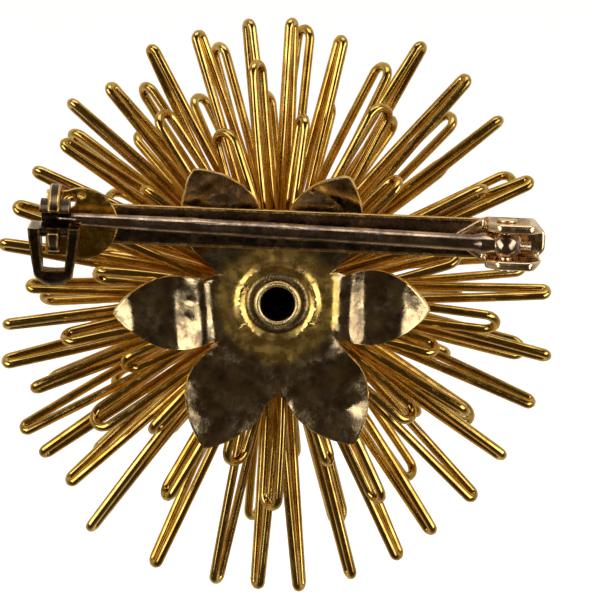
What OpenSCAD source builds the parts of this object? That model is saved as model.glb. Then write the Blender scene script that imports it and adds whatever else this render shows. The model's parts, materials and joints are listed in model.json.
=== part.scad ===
// Wire sunburst brooch with a six-petal back plate and a bar pin.
// The parts are drawn with the brooch lying on its front: x to the right and y up on the back,
// and z towards the back. worn() then stands each part up as it is worn: +Z up, the back
// towards -Y, and the origin on the rivet's axis at half the depth.

/* [Wire rays] */
// Diameter of the ray wire
wire_d = 0.85; // [0.7:0.05:1]
// Usual reach of the long rays from the rivet's axis
long_reach = 28.5; // [23.5:0.5:34.5]
// Reach of the shortest rays, next to the back plate
inner_reach = 18; // [15:0.5:21.5]
// Reach of the second ring of rays
outer_reach = 23; // [20:0.5:26.5]
// Reach of the middle rays
middle_reach = 25.5; // [21:0.5:30.5]
// Reach of the front rays
front_reach = 20; // [16.5:0.5:24]
// Reach of the crown rays at the front
crown_reach = 11; // [9.5:0.5:13]
// Usual distance between the two legs of a ray, measured around the hub
leg_splay = 1.2; // [0.6:0.05:1.3]
// Centre distance of the legs of a long ray at its tip
tip_gap = 1; // [0.9:0.05:1.4]
// Length of leg that is soldered into the hub
solder_depth = 0.6; // [0.3:0.1:0.7]
// How far the middle rays lean towards the front, degrees
middle_lean = 6; // [0:1:10]
// How far the front rays lean towards the front, degrees
front_lean = 18; // [14:1:24]
// How far the crown rays lean towards the front, degrees
crown_lean = 34; // [32:1:42]

/* [Hub] */
// Outer radius of the three deep collars
hub_r = 5.6; // [5.5:0.1:6.5]
// Outer radius of the front collar
front_collar_r = 5; // [4.6:0.1:5.5]
// Thickness of the front collar
front_collar_t = 2.3; // [2.2:0.1:2.6]
// Outer radius of the hollow rivet's tube
rivet_r = 1.95; // [1.6:0.05:2.3]
// Wall of the hollow rivet
rivet_wall = 0.3; // [0.2:0.05:0.5]
// Width of the rivet's rolled lip beyond its tube
rivet_lip = 0.4; // [0.3:0.05:0.5]
// Outer radius of the washer under the lip
washer_r = 3.1; // [2.9:0.1:3.4]
// Thickness of the washer
washer_t = 0.3; // [0.2:0.05:0.4]
// How far the front cap's rim reaches past the rivet's tube
cap_brim = 1.25; // [1.15:0.05:1.6]
// Height of the front cap
cap_h = 2.4; // [2.2:0.1:2.8]

/* [Back plate] */
// Sheet thickness
sheet_t = 0.45; // [0.3:0.05:0.55]
// Radius of the flat centre of the plate
disc_r = 7; // [6.8:0.1:7.5]
// Reach of the petals from the rivet's axis
petal_reach = 15.7; // [14:0.1:17.5]
// Greatest width of a petal
petal_w = 8.2; // [7:0.1:8.6]
// Radius of the hollow in each petal
petal_hollow_r = 10.5; // [10:0.5:14]
// Radius of the stamped ring around the rivet
bead_r = 4; // [3.9:0.1:4.6]

/* [Pin bar] */
// Distance of the hinge axis from the middle of the bar
hinge_x = 19.9; // [16.6:0.1:24]
// Distance of the catch from the middle of the bar
catch_x = 23.75; // [20:0.1:28.5]
// Width of the bar
bar_w = 3.9; // [3.2:0.1:4.7]
// Thickness of the bar
bar_t = 0.7; // [0.5:0.1:1]
// Height of the bar's front face over the plate's centre
bar_z = 1.3; // [1.3:0.05:1.5]
// Place of the bar's middle, to the right of the rivet
bar_right = 2.25; // [0:0.05:4]
// Place of the bar's middle, above the rivet
bar_up = 7.5; // [7.2:0.1:7.8]
// Slope of the bar, degrees down to the right
bar_slope = 2.3; // [0:0.1:4]
// Thickness of the catch's base and of the hinge bracket's floor
base_t = 0.6; // [0.4:0.1:0.8]

/* [Needle and hinge] */
// Height of the needle's axis over the floor of the bracket
needle_h = 2.4; // [2.3:0.05:2.8]
// Diameter of the needle's parallel part
needle_d = 1.6; // [1.3:0.05:1.7]
// Diameter of the needle where it enters the catch
needle_end_d = 1.2; // [1:0.05:1.3]
// Length of the needle's parallel part from the hinge axis
needle_parallel = 30; // [25:0.5:36]
// Length of the needle's thicker root, measured from the hinge axis
needle_root_l = 3.2; // [2.8:0.1:4]
// Width of the knuckle on the needle's end
knuckle_w = 2.3; // [1.9:0.1:2.5]
// Radius of the knuckle
knuckle_r = 1.5; // [1.3:0.05:1.6]
// Length of the needle's tail beyond the hinge axis
tail_l = 2.4; // [2.1:0.1:2.4]
// Radius of the hinge rivet
hinge_pin_r = 0.6; // [0.45:0.05:0.7]
// Thickness of each ear of the bracket
ear_t = 0.9; // [0.7:0.1:1.1]

/* [Catch] */
// Outer radius of the open ring
ring_r = 3.3; // [3.1:0.1:3.5]
// Thickness of the open ring
ring_t = 1.1; // [0.8:0.1:1.4]
// Radius of the bore in which the lock turns
ring_bore_r = 1.95; // [1.7:0.05:2.1]
// Width of the ring's mouth
mouth_w = 2.1; // [1.9:0.1:2.4]
// Thickness of each side of the lock
lock_side_t = 1.1; // [0.9:0.1:1.4]
// Room between the ring and each side of the lock
lock_room = 0.85; // [0.3:0.05:1]
// Length of the lock's lever from its axis
lever_l = 6.7; // [5.6:0.1:7.5]
// How far the catch's axis sits above the bar's middle line
catch_rise = 0.9; // [0.6:0.05:1.1]

/* [Clearances] */
// Clearance between the nested legs of neighbouring rays at the hub
nest_clear = 0.05; // [0.04:0.01:0.1]
// Radial clearance of parts threaded on the rivet
rivet_clear = 0.03; // [0.02:0.01:0.06]
// Radial clearance of the needle on the hinge rivet
hinge_clear = 0.04; // [0.02:0.01:0.08]
// Radial clearance of the lock in the ring
lock_clear = 0.08; // [0.04:0.01:0.1]
// Side clearance of the knuckle between the ears, and of the lock beside the ring
side_clear = 0.2; // [0.1:0.05:0.25]
// Clearance around the needle in the lock
needle_clear = 0.15; // [0.1:0.05:0.2]

/* [Hidden] */
$fn = 48;

// Direction of each long ray, counter-clockwise on the back, and its length over long_reach
long_a = [
    [0, -1], [24, -0.5], [49, 0.5], [76, -1.8], [96, -0.8], [117, -0.5], [137, 0], [153, -1], [170, 0],
    [187, -0.5], [202, -1.5], [215, 1], [232, 3], [258, 2.6], [274, 2.8], [294, 2], [313, 1], [336, 0]
];
long_b = [
    [13, -2.2], [38, 0], [60, 0.5], [87, -0.9], [107, -1], [129, -1.5], [145, -2], [162, -0.5], [179, -3],
    [195, 0.5], [209, 1.5], [223, 1], [246, 3.1], [266, 2.8], [284, 2.6], [302, 1.5], [323, 0.5], [346, 0]
];
// Directions of the two rings of rays next to the back plate
inner_turns = [15, 45, 82, 108, 140, 172, 204, 227, 255, 287, 318, 342];
outer_turns = [28, 61, 95, 122, 156, 191, 215, 241, 268, 296, 328, 353];

middle_rays = 18;
crown_rays = 9;
middle_turn = 4;

// The straight legs reach a little into the bend, and are a hair thinner so that they stay inside it
leg_bite = 0.03;
leg_relief = 0.002;

// Depth of each ring of rays, as the depth of the middle of its legs at the hub. The legs of one
// ring nest between those of the next, so a ray's legs stand two steps apart in depth.
pair_step = wire_d + nest_clear;
leg_gap = 2 * pair_step;
half_band = (leg_gap + wire_d) / 2;
ring_clear = 0.1;
plate_clear = 0.35;
front_rim = 0.2;
inner_depth = sheet_t + plate_clear + half_band;
outer_depth = inner_depth + pair_step;
long_a_depth = outer_depth + 2 * half_band + ring_clear;
long_b_depth = long_a_depth + pair_step;
middle_depth = long_b_depth + 2 * half_band + ring_clear;
front_depth = middle_depth + pair_step;

// Joints between the collars, as depths
collar_1 = sheet_t;
collar_2 = long_a_depth - half_band - ring_clear / 2;
collar_3 = middle_depth - half_band - ring_clear / 2;
collar_4 = front_depth + half_band + front_rim;
collar_5 = collar_4 + front_collar_t;
crown_gap = 1.4;
crown_rise = (crown_gap + wire_d) / 2 * cos(crown_lean) + solder_depth * sin(crown_lean);
crown_depth = collar_4 + crown_rise + ring_clear / 2;

// Hub and cap
hole_r = rivet_r + rivet_clear;
flare_t = 0.4;
cap_r = rivet_r + cap_brim;
cap_sphere_r = (cap_r * cap_r + cap_h * cap_h) / (2 * cap_h);

// Petals
petals = 6;
petal_root = 4.5;
petal_root_cut = 6.2;
petal_half_l = (petal_reach + 0.2 - petal_root) / 2;
petal_mid = petal_root + petal_half_l;
petal_side_r = (petal_half_l * petal_half_l + petal_w * petal_w / 4) / petal_w;
petal_tip_r = 6.4;
petal_hollow_x = 9;
petal_dip = 0.1;
bead_h = 0.25;

// Pin bar, needle and catch
floor_z = bar_z + bar_t;
top_z = floor_z + base_t;
needle_z = top_z + needle_h;
bracket_l = 6;
bracket_back = 4;
bracket_front = bracket_l - bracket_back;
bracket_w = knuckle_w + 2 * side_clear + 2 * ear_t;
corner_l = 1.2;
corner_w = 1.4;
nose_l = 3;
nose_w = 0.8;
bar_tail = 1;
ear_h = needle_h + 1.9;
ear_top = ear_h + base_t;
ear_slope_back = 1.6;
ear_slope_front = 1.2;
head_r = hinge_pin_r + 0.4;
head_t = 0.3;
needle_run = hinge_x + catch_x;
needle_turn = atan(catch_rise / needle_run);
needle_tip_l = 2;
needle_nose_l = 0.25;
root_r = 1.05;
root_taper = 0.8;
needle_reach = needle_run / cos(needle_turn) - 0.15;
tail_r = 0.5;
lock_inner = ring_t / 2 + lock_room;
lock_outer = lock_inner + lock_side_t;
lock_gap = needle_end_d / 2 + needle_clear;
lever_end_r = 1.1;
side_r = needle_h - 0.1;
side_drop = 0.3;
bridge_l = lever_l - ring_r - 1.8;
base_r = 3.5;
base_w = 2 * (catch_rise + sqrt(ring_r * ring_r - needle_h * needle_h));
base_x = catch_x - 2.45;
large_vent = [-1.3, 2.1, 0.6];
small_vent = [-0.1, 2.8, 0.35];

// Where the upper petals' outer rims meet the bar
solder_x = 8.9;
solder_y = 7.9;
solder_t = 0.8;
solder_r = 1.2;

// Middle of the whole brooch, for the origin: across, in depth and in height
crown_l = (crown_reach - front_collar_r) / cos(crown_lean);
crown_end = (crown_gap + wire_d) / 2;
crown_tip = crown_depth + (crown_l - crown_end) * sin(crown_lean) + crown_end;
back_top = needle_z + sqrt(ring_r * ring_r - mouth_w * mouth_w / 4);
middle_y = (crown_tip - back_top) / 2;
long_across = [for (row = concat(long_a, long_b)) (long_reach + row[1]) * cos(row[0])];
long_up = [for (row = concat(long_a, long_b)) (long_reach + row[1]) * sin(row[0])];
middle_x = (max(long_across) + min(long_across)) / 2;
middle_up = (max(long_up) + min(long_up)) / 2;

// Stands the brooch up, with its back towards -Y
module worn()
    translate([-middle_x, -middle_y, -middle_up])
        rotate([90, 0, 0])
            children();

// Puts the pin fitting in its place over the plate
module on_bar()
    translate([bar_right, bar_up, 0])
        rotate([0, 0, -bar_slope])
            children();

// A ring around the rivet's axis between two depths
module ring(outer, inner, from, to)
    translate([0, 0, -to])
        difference() {
            cylinder(r = outer, h = to - from);
            translate([0, 0, -1])
                cylinder(r = inner, h = to - from + 2);
        }

// One ray: a hairpin in the xz plane, its root at the origin and its tip at x = length
module hairpin(length, root_gap, end_gap) {
    bend_r = end_gap / 2;
    bend_x = length - bend_r - wire_d / 2;
    slant = atan((root_gap - end_gap) / 2 / bend_x);
    leg = (bend_x + bend_r * sin(slant) + solder_depth) / cos(slant) + leg_bite;
    rotate([90, 0, 0])
        translate([bend_x, 0, 0]) {
            rotate([0, 0, slant - 90])
                rotate_extrude(angle = 180 - 2 * slant)
                    translate([bend_r, 0])
                        circle(d = wire_d);
            for (side = [0, 1])
                mirror([0, side, 0])
                    rotate([0, 0, 90 - slant])
                        translate([bend_r, -leg_bite, 0])
                            rotate([-90, 0, 0])
                                cylinder(r = wire_d / 2 - leg_relief, h = leg);
        }
}

// A ray in its place on a collar: its legs stand apart by gap in depth and by splay around the hub
module ray(turn, reach, root_r, depth, lean, gap, splay, end_gap)
    rotate([0, 0, turn])
        translate([root_r, 0, -depth])
            rotate([0, lean, 0])
                rotate([atan(splay / gap), 0, 0])
                    hairpin((reach - root_r) / cos(lean), norm([gap, splay]), end_gap);

module long_rays(rows, depth, side)
    color("goldenrod")
        for (row = rows)
            ray(row[0], long_reach + row[1], hub_r, depth, 0, leg_gap,
                side * (leg_splay + 0.3 * sin(row[0] * 7.3)), tip_gap);

// A ray with parallel legs
module open_ray(turn, reach, root_r, depth, lean, gap, splay)
    ray(turn, reach, root_r, depth, lean, gap, splay, norm([gap, splay]));

module back_rays(turns, reach, depth, side)
    color("goldenrod")
        for (turn = turns)
            open_ray(turn, reach + sin(turn * 5), hub_r, depth, 0, leg_gap,
                side * leg_splay * (1 + 0.6 * sin(turn * 7.3)));

module back_plate()
    color("dimgray")
        union() {
            ring(disc_r, hole_r, 0, sheet_t);
            rotate_extrude()
                translate([bead_r, 0])
                    circle(r = bead_h);
            for (k = [0 : petals - 1])
                rotate([0, 0, k * 360 / petals])
                    petal();
        }

module petal()
    intersection() {
        translate([petal_hollow_x, 0, petal_hollow_r - petal_dip])
            rotate([90, 0, 0])
                difference() {
                    sphere(r = petal_hollow_r + sheet_t, $fn = 96);
                    sphere(r = petal_hollow_r, $fn = 96);
                }
        translate([0, 0, -1])
            linear_extrude(5)
                petal_outline();
    }

module petal_outline()
    difference() {
        intersection() {
            translate([petal_mid, petal_side_r - petal_w / 2])
                circle(r = petal_side_r, $fn = 96);
            translate([petal_mid, petal_w / 2 - petal_side_r])
                circle(r = petal_side_r, $fn = 96);
            translate([petal_reach - petal_tip_r, 0])
                circle(r = petal_tip_r, $fn = 96);
        }
        circle(r = petal_root_cut);
    }

module rivet_washer()
    color("darkkhaki")
        ring(washer_r, hole_r, -washer_t, 0);

module centre_rivet()
    color("darkgoldenrod")
        rotate_extrude()
            difference() {
                union() {
                    translate([rivet_r - rivet_wall, -collar_5 - flare_t])
                        square([rivet_wall, collar_5 + flare_t + washer_t]);
                    translate([rivet_r - rivet_wall, -collar_5 - flare_t])
                        square([rivet_wall + rivet_lip, flare_t]);
                    intersection() {
                        translate([rivet_r + (rivet_lip - rivet_wall) / 2, washer_t + 0.2])
                            circle(r = (rivet_wall + rivet_lip) / 2);
                        translate([rivet_r - rivet_wall, washer_t])
                            square([rivet_wall + rivet_lip, 1]);
                    }
                }
                translate([rivet_r - rivet_wall - 1, -collar_5 - 2])
                    square([1, collar_5 + 4]);
            }

module collar_back()
    color("peru")
        ring(hub_r, hole_r, collar_1, collar_2);

module collar_long()
    color("chocolate")
        ring(hub_r, hole_r, collar_2, collar_3);

module collar_middle()
    color("peru")
        ring(hub_r, hole_r, collar_3, collar_4);

module collar_front()
    color("chocolate")
        ring(front_collar_r, hole_r, collar_4, collar_5);

module front_cap()
    color("gold")
        translate([0, 0, -collar_5 + cap_sphere_r - cap_h])
            difference() {
                sphere(r = cap_sphere_r);
                sphere(r = cap_sphere_r - sheet_t);
                translate([0, 0, cap_h - cap_sphere_r + 2 * cap_sphere_r])
                    cube(4 * cap_sphere_r, center = true);
            }

module rays_inner()
    back_rays(inner_turns, inner_reach, inner_depth, 1);

module rays_outer()
    back_rays(outer_turns, outer_reach, outer_depth, -1);

module rays_long_a()
    long_rays(long_a, long_a_depth, 1);

module rays_long_b()
    long_rays(long_b, long_b_depth, -1);

module rays_middle()
    color("goldenrod")
        for (k = [0 : middle_rays - 1])
            open_ray(middle_turn + k * 360 / middle_rays, middle_reach + sin(k * 110), hub_r,
                middle_depth, middle_lean, leg_gap, leg_splay);

module rays_front()
    color("goldenrod")
        for (k = [0 : middle_rays - 1])
            open_ray(middle_turn + (k + 0.5) * 360 / middle_rays, front_reach + sin(k * 80), hub_r,
                front_depth, front_lean, leg_gap, -leg_splay);

module rays_crown()
    color("goldenrod")
        for (k = [0 : crown_rays - 1])
            open_ray(middle_turn + k * 360 / crown_rays, crown_reach, front_collar_r, crown_depth,
                crown_lean, crown_gap, 0);

module pin_bar()
    color("darkslategray")
        translate([-base_x, -bar_w / 2, bar_z])
            cube([base_x + hinge_x + bracket_back - bar_tail, bar_w, bar_t]);

// Solder between the bar's front face and the rims of the two upper petals
module bar_solder()
    color("silver")
        for (side = [-1, 1])
            translate([side * solder_x - bar_right, solder_y - bar_up, bar_z - solder_t])
                cylinder(r = solder_r, h = solder_t);

module hinge_bracket()
    color("burlywood")
        translate([hinge_x, 0, 0])
            difference() {
                union() {
                    translate([0, 0, floor_z])
                        linear_extrude(base_t)
                            bracket_outline(nose_l);
                    intersection() {
                        translate([0, 0, floor_z])
                            linear_extrude(ear_h + base_t)
                                bracket_outline(0);
                        translate([0, bracket_w / 2, floor_z])
                            rotate([90, 0, 0])
                                linear_extrude(bracket_w)
                                    ear_profile();
                    }
                }
                translate([-bracket_l, -bracket_w / 2 + ear_t, top_z])
                    cube([2 * bracket_l, bracket_w - 2 * ear_t, ear_h + 1]);
                translate([0, bracket_w, needle_z])
                    rotate([90, 0, 0])
                        cylinder(r = hinge_pin_r + rivet_clear, h = 2 * bracket_w);
            }

// The bracket seen from the back: a nose over the bar, and clipped corners at the end
module bracket_outline(nose)
    polygon([
        [-bracket_front - nose, nose_w / 2], [-bracket_front, bracket_w / 2],
        [bracket_back - corner_l, bracket_w / 2], [bracket_back, bracket_w / 2 - corner_w],
        [bracket_back, corner_w - bracket_w / 2], [bracket_back - corner_l, -bracket_w / 2],
        [-bracket_front, -bracket_w / 2], [-bracket_front - nose, -nose_w / 2]
    ]);

// The side of an ear, its height measured from the bar
module ear_profile()
    polygon([
        [-bracket_front, 0], [bracket_back, 0], [bracket_back, ear_top - ear_slope_back],
        [bracket_back - ear_slope_back, ear_top], [ear_slope_front - bracket_front, ear_top],
        [-bracket_front, ear_top - ear_slope_front]
    ]);

module hinge_rivet()
    color("sienna")
        translate([hinge_x, 0, needle_z])
            rotate([90, 0, 0]) {
                cylinder(r = hinge_pin_r, h = bracket_w, center = true);
                for (side = [-1, 1])
                    translate([0, 0, side * (bracket_w + head_t) / 2])
                        cylinder(r = head_r, h = head_t, center = true);
            }

module pin_needle()
    color("rosybrown")
        translate([hinge_x, 0, needle_z])
            difference() {
                union() {
                    rotate([90, 0, 0])
                        cylinder(r = knuckle_r, h = knuckle_w, center = true);
                    rotate([0, -90, -needle_turn])
                        rotate_extrude()
                            needle_profile();
                    rotate([0, 90, -needle_turn])
                        cylinder(r = tail_r, h = tail_l);
                }
                rotate([90, 0, 0])
                    cylinder(r = hinge_pin_r + hinge_clear, h = 2 * knuckle_w, center = true);
            }

// Half of the needle's long section: the root, the parallel part, a slow taper and the point
module needle_profile()
    polygon([
        [0, 0], [root_r, 0], [root_r, needle_root_l - root_taper],
        [needle_d / 2, needle_root_l], [needle_d / 2, needle_parallel],
        [needle_end_d / 2, needle_reach - needle_tip_l],
        [needle_end_d / 4, needle_reach - needle_nose_l],
        [0, needle_reach]
    ]);

module catch_base()
    color("darkgoldenrod")
        translate([0, 0, floor_z])
            linear_extrude(base_t)
                difference() {
                    union() {
                        translate([-base_x, 0])
                            circle(r = base_r);
                        translate([-base_x - base_r, -base_w / 2])
                            square([base_r, base_w]);
                    }
                    for (vent = [large_vent, small_vent])
                        translate([vent[0] - base_x, vent[1]])
                            circle(r = vent[2]);
                }

// Puts a section of the catch, drawn in the yz plane, on the catch's axis
module on_catch(from, to)
    translate([-catch_x + from, catch_rise, needle_z])
        rotate([90, 0, 90])
            linear_extrude(to - from)
                children();

module catch_ring()
    color("slategray")
        on_catch(-ring_t / 2, ring_t / 2)
            difference() {
                circle(r = ring_r);
                circle(r = ring_bore_r);
                translate([-mouth_w / 2, 0])
                    square([mouth_w, ring_r + 1]);
                translate([-ring_r, -ring_r - needle_h])
                    square([2 * ring_r, ring_r]);
            }

module catch_lock()
    color("saddlebrown")
        union() {
            on_catch(-lock_outer, -lock_inner)
                lock_side();
            on_catch(lock_inner, lock_outer)
                lock_side();
            on_catch(-lock_inner, lock_inner) {
                lock_core();
                intersection() {
                    lock_side();
                    translate([-lever_l - 1, -lever_l])
                        square([bridge_l + 1, 2 * lever_l]);
                }
            }
        }

// One side of the lock: a round cheek below the needle that runs out into the lever
module lock_side() {
    intersection() {
        circle(r = side_r);
        translate([-lock_gap - side_r, -side_r])
            square([side_r, 2 * side_r]);
    }
    polygon([
        [-lock_gap, side_r - side_drop], [-lock_gap, side_drop - side_r],
        [lever_end_r - lever_l, -lever_end_r], [lever_end_r - lever_l, lever_end_r]
    ]);
    translate([lever_end_r - lever_l, 0])
        circle(r = lever_end_r);
}

// The core that turns in the ring, slotted for the needle
module lock_core()
    difference() {
        circle(r = ring_bore_r - lock_clear);
        circle(r = lock_gap);
        translate([-lock_gap, 0])
            square([2 * lock_gap, ring_bore_r]);
    }

worn() back_plate();
worn() rivet_washer();
worn() centre_rivet();
worn() collar_back();
worn() collar_long();
worn() collar_middle();
worn() collar_front();
worn() front_cap();
worn() rays_inner();
worn() rays_outer();
worn() rays_long_a();
worn() rays_long_b();
worn() rays_middle();
worn() rays_front();
worn() rays_crown();
worn() on_bar() pin_bar();
worn() on_bar() bar_solder();
worn() on_bar() hinge_bracket();
worn() on_bar() hinge_rivet();
worn() on_bar() pin_needle();
worn() on_bar() catch_base();
worn() on_bar() catch_ring();
worn() on_bar() catch_lock();
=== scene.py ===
import json
import math
import random

import bmesh
import bpy
import numpy as np
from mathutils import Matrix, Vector


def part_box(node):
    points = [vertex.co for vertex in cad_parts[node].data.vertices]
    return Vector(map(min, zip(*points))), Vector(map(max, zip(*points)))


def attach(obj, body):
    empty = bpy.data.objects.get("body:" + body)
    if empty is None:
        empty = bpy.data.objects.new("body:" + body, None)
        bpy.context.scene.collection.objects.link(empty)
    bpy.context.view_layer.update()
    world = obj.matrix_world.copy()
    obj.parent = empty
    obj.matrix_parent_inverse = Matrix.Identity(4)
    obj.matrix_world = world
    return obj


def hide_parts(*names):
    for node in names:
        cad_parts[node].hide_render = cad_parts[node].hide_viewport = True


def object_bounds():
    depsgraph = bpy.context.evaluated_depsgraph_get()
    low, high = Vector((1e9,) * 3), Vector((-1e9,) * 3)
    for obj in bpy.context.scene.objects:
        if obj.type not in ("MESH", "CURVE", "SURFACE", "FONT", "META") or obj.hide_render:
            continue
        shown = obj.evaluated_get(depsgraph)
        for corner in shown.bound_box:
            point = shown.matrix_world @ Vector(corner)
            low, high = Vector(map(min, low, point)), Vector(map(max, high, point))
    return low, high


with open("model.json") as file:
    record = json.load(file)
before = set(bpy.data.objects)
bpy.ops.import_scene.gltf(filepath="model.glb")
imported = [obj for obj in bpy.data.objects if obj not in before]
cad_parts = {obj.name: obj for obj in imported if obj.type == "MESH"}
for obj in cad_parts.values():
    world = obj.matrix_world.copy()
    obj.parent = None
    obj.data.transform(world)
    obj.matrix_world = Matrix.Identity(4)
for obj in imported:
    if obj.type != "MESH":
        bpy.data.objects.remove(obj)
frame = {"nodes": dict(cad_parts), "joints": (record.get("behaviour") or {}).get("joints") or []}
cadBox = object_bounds()
nodes = frame["nodes"]
scene = bpy.context.scene
mm = 0.001
rivetLow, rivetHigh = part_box("centre_rivet")
hub = (rivetLow + rivetHigh) / 2  # the middle of the rivet, on the axis that the rays spread from
print("frame loaded:", len(nodes), "CAD nodes")


# Material nodes

def feed(tree, socket, value):
    if hasattr(value, "is_output"):
        tree.links.new(value, socket)
    elif socket.type == "RGBA":
        socket.default_value = (*value, 1.0)
    else:
        socket.default_value = value


def addNode(tree, kind, inputs=None, **settings):
    node = tree.nodes.new(kind)
    for name, value in settings.items():
        setattr(node, name, value)
    for name, value in (inputs or {}).items():
        feed(tree, node.inputs[name], value)
    return node


def noiseOn(tree, vector, scale, detail=4.0, roughness=0.55):
    return addNode(tree, "ShaderNodeTexNoise", {"Vector": vector, "Scale": scale, "Detail": detail,
                                                "Roughness": roughness}).outputs["Fac"]


def stepped(tree, value, span, results=(0.0, 1.0)):
    return addNode(tree, "ShaderNodeMapRange", {
        "Value": value, "From Min": span[0], "From Max": span[1], "To Min": results[0], "To Max": results[1],
    }, interpolation_type="SMOOTHSTEP").outputs["Result"]


def mixed(tree, factor, a, b):
    return addNode(tree, "ShaderNodeMix", {0: factor, 6: a, 7: b}, data_type="RGBA").outputs[2]


def worked(tree, operation, a, b):
    return addNode(tree, "ShaderNodeMath", {0: a, 1: b}, operation=operation).outputs[0]


def markOn(tree, name):
    return addNode(tree, "ShaderNodeAttribute", attribute_name=name).outputs["Fac"]


def brokenUp(tree, mark, noise, amount):
    # Makes the edge of a mark uneven
    wander = worked(tree, "MULTIPLY", worked(tree, "SUBTRACT", noise, 0.5), amount)
    return worked(tree, "ADD", mark, wander)


# What all the metals share. A span says where a noise or a mark starts to show and where it is full
metalWork = {
    "patchSpan": (0.34, 0.66), "speckSpan": (0.56, 0.74), "stainSpan": (0.46, 0.62), "tintShare": 0.5,
    "edgeSpan": (0.38, 0.72), "edgeScale": 2600, "edgeBreak": 0.55,
    "dishSpan": (0.25, 0.85), "dishScale": 300, "dishBreak": 1.3, "dishDull": 0.09,
    "roughSpan": (0.3, 0.7), "roughScale": 2.2, "stainDull": 0.10,
    "struckScale": (110, 5, 1), "struckHeight": 2.2, "bumpDepth": 0.06,
}


def makeMetal(name, look, struck=False):
    work, dish = metalWork, look.get("dish")
    material = bpy.data.materials.new(name)
    material.use_nodes = True
    tree = material.node_tree
    shader = tree.nodes["Principled BSDF"]
    shader.inputs["Metallic"].default_value = 1.0
    place = addNode(tree, "ShaderNodeTexCoord").outputs["Object"]

    # Colour: patches, the wire's own tint, stains, specks, the gilt dish and the worn edges
    patches = stepped(tree, noiseOn(tree, place, look["patchScale"], 3.0), work["patchSpan"])
    specks = stepped(tree, noiseOn(tree, place, look["speckScale"], 3.0, 0.7), work["speckSpan"])
    stains = stepped(tree, noiseOn(tree, place, look["stainScale"], 5.0, 0.65), work["stainSpan"])
    colour = mixed(tree, patches, look["deep"], look["body"])
    tinted = worked(tree, "MULTIPLY", markOn(tree, "tint"), work["tintShare"])
    colour = mixed(tree, tinted, colour, look["bright"])
    colour = mixed(tree, worked(tree, "MULTIPLY", stains, look["stain"]), colour, look["tarnish"])
    colour = mixed(tree, worked(tree, "MULTIPLY", specks, look["speck"]), colour, look["tarnish"])
    if dish:
        uneven = noiseOn(tree, place, work["dishScale"], 5.0, 0.6)
        gilt = brokenUp(tree, markOn(tree, "gilt"), uneven, work["dishBreak"])
        dull = stepped(tree, gilt, work["dishSpan"])
        colour = mixed(tree, dull, colour, dish)
    uneven = noiseOn(tree, place, work["edgeScale"], 3.0)
    wear = brokenUp(tree, markOn(tree, "wear"), uneven, work["edgeBreak"])
    colour = mixed(tree, stepped(tree, wear, work["edgeSpan"]), colour, look["bright"])
    tree.links.new(colour, shader.inputs["Base Color"])

    # Roughness: uneven all over, and duller on the stains and in the dish
    cloudy = noiseOn(tree, place, look["patchScale"] * work["roughScale"])
    rough = stepped(tree, cloudy, work["roughSpan"], look["rough"])
    rough = worked(tree, "ADD", rough, worked(tree, "MULTIPLY", stains, work["stainDull"]))
    if dish:
        rough = worked(tree, "ADD", rough, worked(tree, "MULTIPLY", dull, work["dishDull"]))
    tree.links.new(rough, shader.inputs["Roughness"])

    # Height: fine pitting, and streaks across a struck edge
    height = noiseOn(tree, place, look["bumpScale"], 4.0, 0.6)
    if struck:
        around = addNode(tree, "ShaderNodeUVMap").outputs["UV"]
        streaks = addNode(tree, "ShaderNodeMapping", {"Vector": around, "Scale": work["struckScale"]})
        streaks = noiseOn(tree, streaks.outputs["Vector"], 1.0, 3.0, 0.7)
        height = worked(tree, "ADD", height, worked(tree, "MULTIPLY", streaks, work["struckHeight"]))
    bump = addNode(tree, "ShaderNodeBump", {"Height": height, "Strength": look["bump"],
                                            "Distance": work["bumpDepth"] * mm})
    tree.links.new(bump.outputs["Normal"], shader.inputs["Normal"])
    return material


goldLook = {
    "deep": (0.58, 0.33, 0.045), "body": (0.82, 0.54, 0.12), "bright": (1.0, 0.76, 0.34), "patchScale": 420,
    "tarnish": (0.16, 0.075, 0.015), "stain": 0.22, "stainScale": 900, "speck": 0.14, "speckScale": 5200,
    "rough": (0.06, 0.15), "bump": 0.05, "bumpScale": 1800,
}
goldWire = makeMetal("goldWire", goldLook)

plateLook = {
    "deep": (0.36, 0.25, 0.13), "body": (0.74, 0.56, 0.30), "bright": (1.0, 0.78, 0.36), "patchScale": 520,
    "tarnish": (0.05, 0.04, 0.035), "stain": 0.55, "stainScale": 620, "speck": 0.75, "speckScale": 5200,
    "rough": (0.10, 0.24), "bump": 0.35, "bumpScale": 1500, "dish": (0.95, 0.63, 0.17),
}
darkPlate = makeMetal("darkPlate", plateLook)

findingLook = {
    "deep": (0.09, 0.062, 0.036), "body": (0.20, 0.135, 0.07), "bright": (0.90, 0.58, 0.20),
    "patchScale": 700,
    "tarnish": (0.04, 0.03, 0.03), "stain": 0.55, "stainScale": 1100, "speck": 0.8, "speckScale": 7000,
    "rough": (0.14, 0.32), "bump": 0.35, "bumpScale": 2600,
}
darkFinding = makeMetal("darkFinding", findingLook)

brightLook = {
    "deep": (0.55, 0.36, 0.18), "body": (0.84, 0.62, 0.40), "bright": (1.0, 0.74, 0.44), "patchScale": 600,
    "tarnish": (0.09, 0.055, 0.04), "stain": 0.35, "stainScale": 800, "speck": 0.45, "speckScale": 5200,
    "rough": (0.10, 0.24), "bump": 0.25, "bumpScale": 2000,
}
brightFinding = makeMetal("brightFinding", brightLook)

amberLook = {
    "deep": (0.42, 0.21, 0.02), "body": (0.80, 0.46, 0.06), "bright": (0.95, 0.60, 0.16), "patchScale": 900,
    "tarnish": (0.07, 0.04, 0.015), "stain": 0.55, "stainScale": 900, "speck": 0.6, "speckScale": 5200,
    "rough": (0.14, 0.30), "bump": 0.5, "bumpScale": 1500,
}
amberFinding = makeMetal("amberFinding", amberLook)

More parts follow.
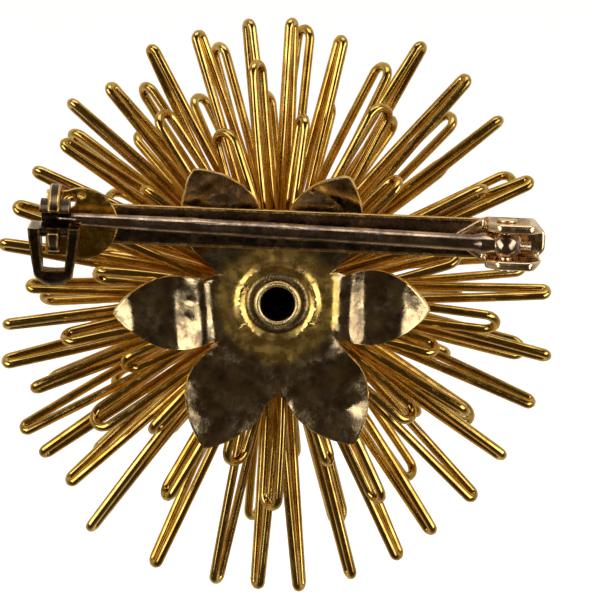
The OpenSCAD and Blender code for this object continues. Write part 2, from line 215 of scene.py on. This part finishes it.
needleLook = {
    "deep": (0.34, 0.23, 0.16), "body": (0.68, 0.49, 0.33), "bright": (0.95, 0.74, 0.52), "patchScale": 520,
    "tarnish": (0.07, 0.055, 0.06), "stain": 0.55, "stainScale": 620, "speck": 0.6, "speckScale": 6400,
    "rough": (0.10, 0.22), "bump": 0.15, "bumpScale": 2600,
}
needleMetal = makeMetal("needleMetal", needleLook)

hubLook = {
    "deep": (0.34, 0.24, 0.10), "body": (0.60, 0.43, 0.18), "bright": (1.0, 0.74, 0.34), "patchScale": 420,
    "tarnish": (0.05, 0.035, 0.025), "stain": 0.5, "stainScale": 700, "speck": 0.6, "speckScale": 4200,
    "rough": (0.12, 0.28), "bump": 0.35, "bumpScale": 2400,
}
hubBrass = makeMetal("hubBrass", hubLook)
rivetBrass = makeMetal("rivetBrass", hubLook, struck=True)

solderLook = {
    "deep": (0.20, 0.18, 0.16), "body": (0.42, 0.38, 0.33), "bright": (0.75, 0.70, 0.62), "patchScale": 900,
    "tarnish": (0.07, 0.06, 0.055), "stain": 0.4, "stainScale": 1100, "speck": 0.6, "speckScale": 5000,
    "rough": (0.30, 0.5), "bump": 0.5, "bumpScale": 2600,
}
solderMetal = makeMetal("solderMetal", solderLook)
print("materials done")


# Building helpers

def smooth(t):
    t = min(1.0, max(0.0, t))
    return t * t * (3 - 2 * t)


def finishPiece(bm, name, material, body, slot, *replaced):
    mesh = bpy.data.meshes.new(name)
    bm.normal_update()
    bm.to_mesh(mesh)
    bm.free()
    mesh.shade_smooth()
    piece = bpy.data.objects.new(name, mesh)
    scene.collection.objects.link(piece)
    mesh.materials.append(material)
    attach(piece, body)
    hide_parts(*replaced)
    return piece


def recolour(node, material):
    nodes[node].data.materials.clear()
    nodes[node].data.materials.append(material)


def mergedCopy(node):
    bm = bmesh.new()
    bm.from_mesh(nodes[node].data)
    bmesh.ops.remove_doubles(bm, verts=bm.verts, dist=2e-7)
    return bm


def roundEdges(bm, edges, size):
    # Rounds the edges and marks the new faces, which setWear then reads
    rim = bm.faces.layers.int["rim"]
    made = bmesh.ops.bevel(bm, geom=edges, offset=size["bevel"] * mm, offset_type="OFFSET", affect="EDGES",
                           segments=size["segments"], profile=0.5, material=-1, clamp_overlap=True)
    for face in made["faces"]:
        face[rim] = 1


def setWear(bm):
    bm.verts.index_update()
    rim = bm.faces.layers.int["rim"]
    marked = {vert.index for vert in bm.verts if any(face[rim] for face in vert.link_faces)}
    wear = bm.verts.layers.float.new("wear")
    for vert in bm.verts:
        vert[wear] = float(vert.index in marked)


# Wire rays: every hairpin is swept again along its own middle line, with a slight bow and sway.
# Sizes are in millimetres. The wire is drawn a little thicker than the CAD's, so its bend is pulled back
wireSize = {
    "diameter": 0.85, "drawn": 0.94, "sides": 3, "legSteps": 14, "bendSteps": 12, "bow": 0.16,
    "leastBow": 0.2, "sway": 0.22, "pulledBack": 0.05,
}


def hairpinParts(node):
    bm = mergedCopy(node)
    bm.verts.index_update()
    seen, parts = set(), []
    for start in bm.verts:
        if start.index in seen:
            continue
        stack, found = [start], []
        seen.add(start.index)
        while stack:
            vert = stack.pop()
            found.append(vert.co.copy())
            for edge in vert.link_edges:
                other = edge.other_vert(vert)
                if other.index not in seen:
                    seen.add(other.index)
                    stack.append(other)
        parts.append(np.array(found))
    bm.free()
    return parts


def hairpinLine(points, draw):
    # Along, across and through the hairpin, from the way its points spread
    middle = points.mean(0)
    axes = np.linalg.svd(points - middle, full_matrices=False)[2]
    outwards = axes[0][0] * (middle[0] - hub.x) + axes[0][2] * (middle[2] - hub.z) > 0
    out = axes[0] * (1 if outwards else -1)
    flat = axes[2] * (1 if axes[2][1] > 0 else -1)
    side = np.cross(flat, out)
    along, across, through = points @ out, points @ side, points @ flat

    halfway = (along.min() + along.max()) / 2
    root, tip = across[along < halfway], across[along >= halfway]
    thick = wireSize["diameter"] * mm
    rootGap, tipGap = np.ptp(root) - thick, np.ptp(tip) - thick
    rootMid, tipMid = (root.min() + root.max()) / 2, (tip.min() + tip.max()) / 2
    level = (through.min() + through.max()) / 2
    start = along.min()
    bend = along.max() - (tipGap + wireSize["drawn"] * mm) / 2 - wireSize["pulledBack"] * mm
    bow = wireSize["bow"] * mm * draw.uniform(wireSize["leastBow"], 1)
    sway = wireSize["sway"] * mm * draw.uniform(-1, 1)
    line = []

    def put(u, v, w=0.0):
        line.append(out * u + side * v + flat * (level + w))

    def leg(share, hand):
        swell = math.sin(math.pi * share)
        gap = (rootGap + (tipGap - rootGap) * share) / 2 + bow * swell
        put(start + (bend - start) * share, rootMid + (tipMid - rootMid) * share + hand * gap, sway * swell)

    shares = [k / wireSize["legSteps"] for k in range(wireSize["legSteps"])]
    for share in shares:
        leg(share, 1)
    for k in range(wireSize["bendSteps"] + 1):
        turn = math.pi * k / wireSize["bendSteps"]
        put(bend + math.sin(turn) * tipGap / 2, tipMid + math.cos(turn) * tipGap / 2)
    for share in reversed(shares):
        leg(share, -1)
    return line


def wireTube(line):
    curve = bpy.data.curves.new("wireLine", "CURVE")
    curve.dimensions = "3D"
    curve.bevel_depth = wireSize["drawn"] * mm / 2
    curve.bevel_resolution = wireSize["sides"]
    curve.use_fill_caps = True
    spline = curve.splines.new("POLY")
    spline.points.add(len(line) - 1)
    for point, co in zip(spline.points, line):
        point.co = (*co, 1)
    holder = bpy.data.objects.new("wireHolder", curve)
    scene.collection.objects.link(holder)
    mesh = bpy.data.meshes.new_from_object(holder.evaluated_get(bpy.context.evaluated_depsgraph_get()))
    bpy.data.objects.remove(holder)
    bpy.data.curves.remove(curve)
    return mesh


def wireRing(node, name, tints, seed):
    draw = random.Random(seed)
    bm = bmesh.new()
    tint = bm.verts.layers.float.new("tint")
    for points in hairpinParts(node):
        mesh = wireTube(hairpinLine(points, draw))
        before = len(bm.verts)
        bm.from_mesh(mesh)
        bpy.data.meshes.remove(mesh)
        shade = draw.uniform(*tints)
        bm.verts.ensure_lookup_table()
        for vert in bm.verts[before:]:
            vert[tint] = shade
    return finishPiece(bm, name, goldWire, "brooch", "gold_wire", node)


# The tiers from the back to the front. The tints say how far each wire may lean to the bright colour
rayTiers = (
    {"node": "rays_inner", "name": "innerRays", "tints": (0.05, 0.5), "seed": 11},
    {"node": "rays_outer", "name": "outerRays", "tints": (0.05, 0.5), "seed": 12},
    {"node": "rays_long_a", "name": "longRaysNear", "tints": (0.0, 0.5), "seed": 13},
    {"node": "rays_long_b", "name": "longRaysFar", "tints": (0.0, 0.45), "seed": 14},
    {"node": "rays_middle", "name": "middleRays", "tints": (0.0, 0.3), "seed": 15},
    {"node": "rays_front", "name": "frontRays", "tints": (0.0, 0.4), "seed": 16},
    {"node": "rays_crown", "name": "crownRays", "tints": (0.1, 0.5), "seed": 17},
)
for tier in rayTiers:
    wireRing(**tier)
print("wire rays done")

# Back plate: a stamped six-petal sheet round a dished middle, in millimetres and degrees
plateShape = {
    "hole": 1.98, "sheet": 0.45, "rings": 46, "spokes": 22,
    # half the angle that a petal of this reach takes up, from its root outwards to its tip
    "reach": 15.7,
    "radii": (5.6, 6.4, 7.0, 8.0, 9.0, 10.0, 11.0, 12.0, 13.0, 14.0, 15.0, 15.5, 15.7),
    "halves": (30.0, 28.6, 27.4, 25.4, 24.2, 23.0, 20.9, 17.7, 13.7, 9.3, 4.4, 1.8, 0.0),
    # the outline's points crowd towards the tip, and each turns on by at least so many degrees
    "tipCrowding": 0.65, "leastTurn": 0.12, "notchTurn": 0.25, "notchFillet": 1.5,
    # how far the slopes are drawn, in how many steps, and how many of them a crease is softened over
    "profileReach": 18, "profileSteps": 360, "creaseSteps": 15,
    # a petal curls up at its sides, more so towards its tip: (millimetres out, over how many)
    "curl": 0.016, "curlFrom": (5, 3), "tipCurl": 0.022, "tipCurlFrom": (9.5, 4),
    "petalBlend": 16, "beadHeight": 0.24, "beadRadius": 3.75, "beadWidth": 0.30,
    "giltRadius": 4.8, "giltFade": 2.6, "bevel": 0.14, "segments": 3, "corner": 50,
}

# Each petal's turn and reach, how wide each of its sides is, the radius of the notch after it, and
# the slopes along its middle as (from, to, slope)
petals = (
    {"turn": -2.3, "reach": 14.9, "wide": (1.05, 0.97), "notch": 6.0,
     "slopes": ((5.5, 6.1, 0.50), (7.2, 8.5, -0.44), (12.4, 15.2, 0.42))},
    {"turn": 61.0, "reach": 14.4, "wide": (1.10, 0.95), "notch": 7.2,
     "slopes": ((5.6, 6.3, 0.40), (7.6, 8.8, -0.32), (11.6, 14.6, 0.42))},
    {"turn": 121.5, "reach": 15.6, "wide": (0.90, 1.10), "notch": 6.3,
     "slopes": ((5.8, 6.4, 0.40), (7.6, 9.0, -0.28), (12.6, 16.0, 0.26))},
    {"turn": 184.0, "reach": 16.2, "wide": (0.80, 1.02), "notch": 6.5,
     "slopes": ((6.6, 7.1, 0.45), (7.7, 10.2, -0.42), (14.4, 16.4, 0.36))},
    {"turn": 243.5, "reach": 16.4, "wide": (1.13, 0.87), "notch": 8.9,
     "slopes": ((6.6, 7.3, 0.34), (8.2, 10.0, -0.30), (13.6, 16.6, 0.20))},
    {"turn": 298.0, "reach": 16.1, "wide": (0.97, 1.03), "notch": 6.5,
     "slopes": ((6.5, 7.2, 0.34), (8.0, 9.6, -0.32), (12.8, 16.3, 0.24))},
)

# Small knocks in the sheet: across, up, size and depth
dents = (
    (-8.2, 2.4, 0.35, 0.10), (-8.6, 0.2, 0.3, 0.09), (-8.9, -1.6, 0.4, 0.10), (11.6, 0.9, 0.7, 0.09),
    (13.2, -0.8, 0.6, 0.08), (-12.0, -0.3, 1.2, 0.10), (-7.5, -9.5, 1.3, 0.10), (6.6, -10.6, 1.0, 0.12),
    (7.4, -8.0, 0.7, 0.08), (-5.0, 10.8, 1.2, 0.10), (4.9, -4.4, 0.5, 0.05), (-4.6, -2.6, 0.8, 0.05),
    (-9.7, 1.2, 0.5, 0.06), (9.4, -2.0, 0.6, 0.06), (5.4, 3.0, 0.5, 0.05),
)


def turnAway(turn, other):
    return (turn - other + 180) % 360 - 180


def petalEdge(petal, side, notch, room):
    # One side of a petal as (radius, turn), from its tip down to the notch
    shape = plateShape
    scale = petal["reach"] / shape["reach"]
    edge, last = [], -1.0
    for k in range(shape["spokes"] + 1):
        t = k / shape["spokes"]
        share = (1 - shape["tipCrowding"]) * t + shape["tipCrowding"] * t * t if t < 1 else 1
        r = petal["reach"] + (notch - petal["reach"]) * share
        half = petal["wide"][side > 0] * float(np.interp(r / scale, shape["radii"], shape["halves"]))
        half += (room - half) * smooth((notch + shape["notchFillet"] - r) / shape["notchFillet"])
        most = room - shape["notchTurn"] * (shape["spokes"] - k)
        half = min(max(last + shape["leastTurn"], half), most) if k else 0.0
        last = half
        edge.append((r, petal["turn"] + side * half))
    return edge


def plateOutline():
    outline = []
    for k, petal in enumerate(petals):
        before, after = petals[k - 1], petals[(k + 1) % len(petals)]
        roomBefore = (petal["turn"] - before["turn"]) % 360 / 2
        roomAfter = (after["turn"] - petal["turn"]) % 360 / 2
        rising = petalEdge(petal, -1, before["notch"], roomBefore)
        falling = petalEdge(petal, 1, petal["notch"], roomAfter)
        outline += rising[::-1] + falling[1:-1]
    return outline


def slopeProfile(slopes):
    at = np.linspace(0, plateShape["profileReach"], plateShape["profileSteps"] + 1)
    slope = sum(np.where((at >= start) & (at <= end), value, 0.0) for start, end, value in slopes)
    kernel = np.hanning(plateShape["creaseSteps"])
    slope = np.convolve(slope, kernel / kernel.sum(), mode="same")
    return at, np.cumsum(slope) * (at[1] - at[0])


profiles = {petal["turn"]: slopeProfile(petal["slopes"]) for petal in petals}


def heightOn(petal, r, turn):
    off = math.radians(turnAway(turn, petal["turn"]))
    x, y = r * math.cos(off), r * math.sin(off)
    (start, over), (tipStart, tipOver) = plateShape["curlFrom"], plateShape["tipCurlFrom"]
    curl = plateShape["curl"] + plateShape["tipCurl"] * smooth((x - tipStart) / tipOver)
    return float(np.interp(x, *profiles[petal["turn"]])) + curl * y * y * smooth((x - start) / over)


def plateHeight(r, turn):
    # The nearest petal's height, evened out with the next one's near the line between them
    nearest, second = sorted(petals, key=lambda petal: abs(turnAway(turn, petal["turn"])))[:2]
    between = abs(turnAway(turn, second["turn"])) - abs(turnAway(turn, nearest["turn"]))
    share = 0.5 * (1 - smooth(between / plateShape["petalBlend"]))
    value = heightOn(nearest, r, turn) * (1 - share) + heightOn(second, r, turn) * share
    bead = math.exp(-((r - plateShape["beadRadius"]) / plateShape["beadWidth"]) ** 2)
    return plateShape["sheet"] + value + plateShape["beadHeight"] * bead


def buildPlate(backPlane):
    shape = plateShape
    bm = bmesh.new()
    gilt = bm.verts.layers.float.new("gilt")
    bm.faces.layers.int.new("rim")
    outline = plateOutline()
    count = len(outline)
    ring = bmesh.ops.create_circle(bm, cap_ends=False, segments=count, radius=shape["hole"] * mm)["verts"]
    ring = sorted(ring, key=lambda vert: math.atan2(vert.co.y, vert.co.x) % (2 * math.pi))

    def settle(verts, share):
        # Puts one ring of the sheet in its place between the hole and the outline
        for vert, (reach, turn) in zip(verts, outline):
            r = shape["hole"] + (reach - shape["hole"]) * share
            x, z = r * math.cos(math.radians(turn)), r * math.sin(math.radians(turn))
            sunk = sum(depth * math.exp(-((x - across) ** 2 + (z - up) ** 2) / size ** 2)
                       for across, up, size, depth in dents)
            vert.co = hub + Vector((x, -(plateHeight(r, turn) - sunk), z)) * mm
            vert.co.y += backPlane - hub.y
            vert[gilt] = 1.0 - smooth((r - shape["giltRadius"]) / shape["giltFade"])

    settle(ring, 0.0)
    for k in range(1, shape["rings"] + 1):
        edges = [bm.edges.get((ring[j], ring[(j + 1) % count])) for j in range(count)]
        made = bmesh.ops.extrude_edge_only(bm, edges=edges)
        fresh = {part for part in made["geom"] if isinstance(part, bmesh.types.BMVert)}
        ring = [next(edge.other_vert(vert) for edge in vert.link_edges if edge.other_vert(vert) in fresh)
                for vert in ring]
        settle(ring, k / shape["rings"])
    bmesh.ops.recalc_face_normals(bm, faces=bm.faces)
    bm.faces.ensure_lookup_table()
    if bm.faces[0].normal.y > 0:
        bmesh.ops.reverse_faces(bm, faces=bm.faces)
    bmesh.ops.solidify(bm, geom=bm.faces[:], thickness=shape["sheet"] * mm)
    bm.normal_update()
    corners = [edge for edge in bm.edges
               if edge.is_manifold and edge.calc_face_angle() > math.radians(shape["corner"])]
    roundEdges(bm, corners, shape)
    setWear(bm)
    return finishPiece(bm, "petalPlate", darkPlate, "brooch", "dark_plate", "back_plate")


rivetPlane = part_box("collar_back")[0].y  # the sheet lies against the nearest collar
buildPlate(rivetPlane)
print("petal plate done")


# Hollow rivet, washer and cap, turned on the hub's axis. A profile is (radius, place along the axis)

def turned(profile, name, material, slot, node, worn=None, steps=96):
    bm = bmesh.new()
    line = [bm.verts.new((hub.x + r * mm, y * mm, hub.z)) for r, y in profile]
    edges = [bm.edges.new(pair) for pair in zip(line, line[1:])]
    bmesh.ops.spin(bm, geom=line + edges, cent=(hub.x, 0, hub.z), axis=(0, 1, 0), dvec=(0, 0, 0),
                   angle=2 * math.pi, steps=steps, use_merge=True)
    bmesh.ops.remove_doubles(bm, verts=bm.verts, dist=1e-7)
    bmesh.ops.recalc_face_normals(bm, faces=bm.faces)
    layer = bm.loops.layers.uv.new("UVMap")
    wear = bm.verts.layers.float.new("wear")
    for face in bm.faces:
        corners = [loop.vert.co for loop in face.loops]
        around = [math.atan2(co.z - hub.z, co.x - hub.x) / (2 * math.pi) % 1.0 for co in corners]
        wraps = max(around) - min(around) > 0.5  # the face crosses the seam
        for loop, co, turn in zip(face.loops, corners, around):
            down = (math.hypot(co.x - hub.x, co.z - hub.z) - co.y) / mm
            loop[layer].uv = (turn + (1.0 if wraps and turn < 0.5 else 0.0), down / 6)
    for vert in bm.verts:
        r = math.hypot(vert.co.x - hub.x, vert.co.z - hub.z) / mm
        rubbed = worn and vert.co.y / mm < worn["behind"] and r < worn["within"]
        vert[wear] = worn["amount"] if rubbed else 0.0
    return finishPiece(bm, name, material, "brooch", slot, node)


sheetY = rivetPlane / mm
lipY, frontY = rivetLow.y / mm, rivetHigh.y / mm
rivetShape = {
    "bore": 1.65, "tube": 1.95, "lip": 2.35,
    "worn": {"amount": 0.85, "behind": sheetY - 0.95, "within": 2.3},  # the lip's crown is rubbed bright
}
bore, tube, lip = rivetShape["bore"], rivetShape["tube"], rivetShape["lip"]
rivetLine = [
    (bore, frontY - 0.02), (bore, sheetY), (bore, lipY + 0.45), (1.67, lipY + 0.25), (1.74, lipY + 0.09),
    (1.86, lipY + 0.01), (2.0, lipY), (2.15, lipY + 0.04), (2.27, lipY + 0.13), (2.34, lipY + 0.27),
    (lip, lipY + 0.4), (1.97, lipY + 0.44), (tube, sheetY), (tube, frontY - 0.42), (2.3, frontY - 0.40),
    (lip, frontY - 0.3), (2.33, frontY - 0.05), (2.28, frontY), (1.75, frontY), (bore, frontY - 0.02),
]
turned(rivetLine, "hollowRivet", rivetBrass, "hub_brass", "centre_rivet", rivetShape["worn"])

washerShape = {"hole": 1.99, "radius": 3.1}
washerBack, washerFront = (corner.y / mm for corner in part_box("rivet_washer"))
hole, radius = washerShape["hole"], washerShape["radius"]
washerLine = [
    (hole, washerFront), (hole, washerBack + 0.06), (hole + 0.06, washerBack), (radius - 0.3, washerBack),
    (radius - 0.12, washerBack + 0.05), (radius - 0.02, washerBack + 0.14), (radius, washerFront),
    (hole, washerFront),
]
turned(washerLine, "rivetWasher", rivetBrass, "hub_brass", "rivet_washer")

capShape = {"sheet": 0.45, "brim": 0.12, "pole": 0.0001, "outerSteps": 14, "innerSteps": 12}
capBack, capFront = (corner.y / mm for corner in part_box("front_cap"))
capR = (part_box("front_cap")[1].x - hub.x) / mm
capRise = capFront - capBack
sphereR = (capR ** 2 + capRise ** 2) / (2 * capRise)


def capArc(inset, steps):
    # Points of the dome, or of its inner face when inset, from beside the pole to near the brim
    r = sphereR - inset
    widest = math.asin((capR - inset) / r)
    turns = [widest * k / steps for k in range(1, steps)]
    return [(r * math.sin(a), capFront - inset - r * (1 - math.cos(a))) for a in turns]


capLine = [(capShape["pole"], capFront)] + capArc(0, capShape["outerSteps"])
capLine += [(capR - 0.03, capBack + capShape["brim"]), (capR, capBack + 0.04), (capR - 0.03, capBack),
            (capR - 0.4, capBack)]
capLine += capArc(capShape["sheet"], capShape["innerSteps"])[::-1]
capLine += [(capShape["pole"], capFront - capShape["sheet"])]
turned(capLine, "frontCap", goldWire, "gold_wire", "front_cap")
for name in ("collar_back", "collar_long", "collar_middle", "collar_front"):
    recolour(name, hubBrass)
print("rivet, washer, cap and collars done")

# Pin fitting. The bar slopes down to the right, so its pieces are cut along, through and up the bar
hinge = frame["joints"][0]
slope = math.atan2(hinge["axis"][0], hinge["axis"][2])
barAxes = [Vector((math.cos(slope), 0, -math.sin(slope))), Vector((0, 1, 0)),
           Vector((math.sin(slope), 0, math.cos(slope)))]


def cutInSlices(bm, steps):
    for axis, step in zip(barAxes, steps):
        if not step:
            continue
        along = [vert.co.dot(axis) for vert in bm.verts]
        low, length = min(along), max(along) - min(along)
        count = max(1, round(length / (step * mm)))
        for k in range(1, count):
            bmesh.ops.bisect_plane(bm, geom=bm.verts[:] + bm.edges[:] + bm.faces[:], dist=1e-7,
                                   plane_co=axis * (low + length * k / count), plane_no=axis)


def softened(node, name, material, body, slot, size, shape=None):
    # A CAD node with its edges rounded, cut fine enough for its wear to show, and shaped further.
    # Only edges sharper than "corner" degrees and longer than "shortest" are rounded
    bm = mergedCopy(node)
    bm.faces.layers.int.new("rim")
    bmesh.ops.dissolve_limit(bm, angle_limit=math.radians(2), verts=bm.verts, edges=bm.edges)
    corners = [edge for edge in bm.edges
               if edge.is_manifold and edge.calc_face_angle() > math.radians(size["corner"])
               and edge.calc_length() > size.get("shortest", 0) * mm]
    roundEdges(bm, corners, size)
    cutInSlices(bm, size["slices"])
    if shape:
        shape(bm)
    setWear(bm)
    return finishPiece(bm, name, material, body, slot, node)


barSize = {"bevel": 0.11, "segments": 3, "corner": 25, "slices": (1.6, 0, 0.5)}
softened("pin_bar", "pinBar", darkFinding, "brooch", "dark_finding", barSize)

bracketSize = {"bevel": 0.36, "segments": 5, "corner": 25, "slices": (0.5, 0.5, 0.5), "shortest": 0.45}
softened("hinge_bracket", "hingeBracket", brightFinding, "brooch", "bright_finding", bracketSize)

baseSize = {"bevel": 0.12, "segments": 2, "corner": 25, "slices": (0.5, 0, 0.5)}
softened("catch_base", "catchBase", amberFinding, "brooch", "bright_finding", baseSize)

ringSize = {"bevel": 0.18, "segments": 3, "corner": 35, "slices": (0.28, 0.5, 0.5)}
softened("catch_ring", "catchRing", darkFinding, "brooch", "dark_finding", ringSize)

# The lock narrows on its way down, and its lowest part is rounded up at the sides
lockSize = {
    "bevel": 0.26, "segments": 3, "corner": 35, "slices": (0.4, 0.5, 0.5),
    "narrowFrom": 0.25, "narrowBy": 0.26, "roundFrom": 0.72, "roundBy": 0.9, "roundPower": 2.2,
}


def taperLock(bm):
    along, upwards = barAxes[0], barAxes[2]
    middle = sum((vert.co.dot(along) for vert in bm.verts), 0.0) / len(bm.verts)
    heights = [vert.co.dot(upwards) for vert in bm.verts]
    top, low = max(heights), min(heights)
    span = max(abs(vert.co.dot(along) - middle) for vert in bm.verts)
    for vert in bm.verts:
        down = (top - vert.co.dot(upwards)) / (top - low)
        across = vert.co.dot(along) - middle
        narrowed = smooth((down - lockSize["narrowFrom"]) / (1 - lockSize["narrowFrom"]))
        vert.co -= along * across * lockSize["narrowBy"] * narrowed
        if down > lockSize["roundFrom"]:
            share = (down - lockSize["roundFrom"]) / (1 - lockSize["roundFrom"])
            lift = (abs(across) / span) ** lockSize["roundPower"] * lockSize["roundBy"] * mm
            vert.co += upwards * lift * share


softened("catch_lock", "catchLock", darkFinding, "lock", "dark_finding", lockSize, taperLock)

rivetSize = {"bevel": 0.1, "segments": 2, "corner": 35, "slices": (0, 0, 0)}
softened("hinge_rivet", "hingeRivet", brightFinding, "brooch", "bright_finding", rivetSize)

# The needle's knuckle is a barrel: its outside draws in towards its two ends
needleSize = {
    "bevel": 0.12, "segments": 2, "corner": 60, "slices": (1.2, 0, 0.16),
    "knuckle": 1.15, "inner": 0.95, "outer": 1.62, "barrel": 0.30, "barrelPower": 2.4,
}
hingeAt = Vector(hinge["pos_m"])


def roundKnuckle(bm):
    half = needleSize["knuckle"] * mm
    for vert in bm.verts:
        offset = vert.co - hingeAt
        height = offset.dot(barAxes[2])
        flat = offset - barAxes[2] * height
        outside = needleSize["inner"] * mm < flat.length < needleSize["outer"] * mm
        if outside and abs(height) < half * 1.05:
            vert.co -= flat * needleSize["barrel"] * (abs(height) / half) ** needleSize["barrelPower"]


softened("pin_needle", "pinNeedle", needleMetal, "needle", "needle_metal", needleSize, roundKnuckle)
recolour("bar_solder", solderMetal)
print("pin fitting done")

# Camera: degrees above level, then millimetres from a point beside the rivet's lip
cameraSize = {"elevation": 11.0, "distance": 323.0, "lens": 197.0, "right": 2.21, "up": 0.44}
tilt = math.radians(cameraSize["elevation"])
forwards = Vector((0, math.cos(tilt), -math.sin(tilt)))
upwards = Vector((0, math.sin(tilt), math.cos(tilt)))
target = Vector((hub.x, rivetLow.y, hub.z))
target += Vector((1, 0, 0)) * cameraSize["right"] * mm + upwards * cameraSize["up"] * mm
cameraData = bpy.data.cameras.new("camera")
cameraData.lens = cameraSize["lens"]
cameraData.sensor_width = 36
cameraData.clip_start = 0.01
cameraData.clip_end = 20
camera = bpy.data.objects.new("camera", cameraData)
camera.location = target - forwards * cameraSize["distance"] * mm
camera.rotation_euler = forwards.to_track_quat("-Z", "Y").to_euler()
scene.collection.objects.link(camera)
scene.camera = camera

# Softboxes at both sides and above
softboxes = (
    {"name": "softboxLeft", "place": (-0.46, -0.40, 0.10), "size": (0.34, 0.62), "power": 1.6},
    {"name": "softboxRight", "place": (0.46, -0.40, 0.06), "size": (0.34, 0.62), "power": 1.6},
    {"name": "softboxTop", "place": (0.0, -0.15, 0.62), "size": (0.7, 0.35), "power": 1.2},
)
for softbox in softboxes:
    lampData = bpy.data.lights.new(softbox["name"], "AREA")
    lampData.shape = "RECTANGLE"
    lampData.size, lampData.size_y = softbox["size"]
    lampData.energy = softbox["power"]
    lamp = bpy.data.objects.new(softbox["name"], lampData)
    lamp.location = softbox["place"]
    lamp.rotation_euler = (-Vector(softbox["place"])).to_track_quat("-Z", "Z").to_euler()
    scene.collection.objects.link(lamp)

# The room is dark and warm towards the camera and pale behind, and plain white where it is seen
roomLook = {"near": (0.045, 0.034, 0.022), "far": (0.66, 0.62, 0.55), "span": (-0.55, 0.7)}
world = bpy.data.worlds.new("studio")
scene.world = world
world.use_nodes = True
tree = world.node_tree
toward = addNode(tree, "ShaderNodeTexCoord").outputs["Generated"]
split = addNode(tree, "ShaderNodeSeparateXYZ", {"Vector": toward})
roomGlow = mixed(tree, stepped(tree, split.outputs["Y"], roomLook["span"]), roomLook["near"], roomLook["far"])
seen = addNode(tree, "ShaderNodeLightPath").outputs["Is Camera Ray"]
background = tree.nodes["Background"]
tree.links.new(mixed(tree, seen, roomGlow, (1.0, 1.0, 1.0)), background.inputs["Color"])
background.inputs["Strength"].default_value = 1.0

# A pale floor well below, which the metal doesn't mirror
floorLook = {"colour": (0.9, 0.9, 0.9, 1), "roughness": 0.9, "glow": 0.72, "below": 60, "half": 6.0}
floorMaterial = bpy.data.materials.new("paleFloor")
floorMaterial.use_nodes = True
floorShader = floorMaterial.node_tree.nodes["Principled BSDF"]
floorShader.inputs["Base Color"].default_value = floorLook["colour"]
floorShader.inputs["Roughness"].default_value = floorLook["roughness"]
floorShader.inputs["Emission Color"].default_value = (1, 1, 1, 1)
floorShader.inputs["Emission Strength"].default_value = floorLook["glow"]
bm = bmesh.new()
bmesh.ops.create_grid(bm, x_segments=1, y_segments=1, size=floorLook["half"])
bmesh.ops.translate(bm, verts=bm.verts, vec=(0, 0, cadBox[0].z - floorLook["below"] * mm))
floorMesh = bpy.data.meshes.new("floor")
bm.to_mesh(floorMesh)
bm.free()
floor = bpy.data.objects.new("floor", floorMesh)
floorMesh.materials.append(floorMaterial)
scene.collection.objects.link(floor)
floor.visible_glossy = False
scene.view_settings.view_transform = "Standard"
print("camera, lights and floor done")
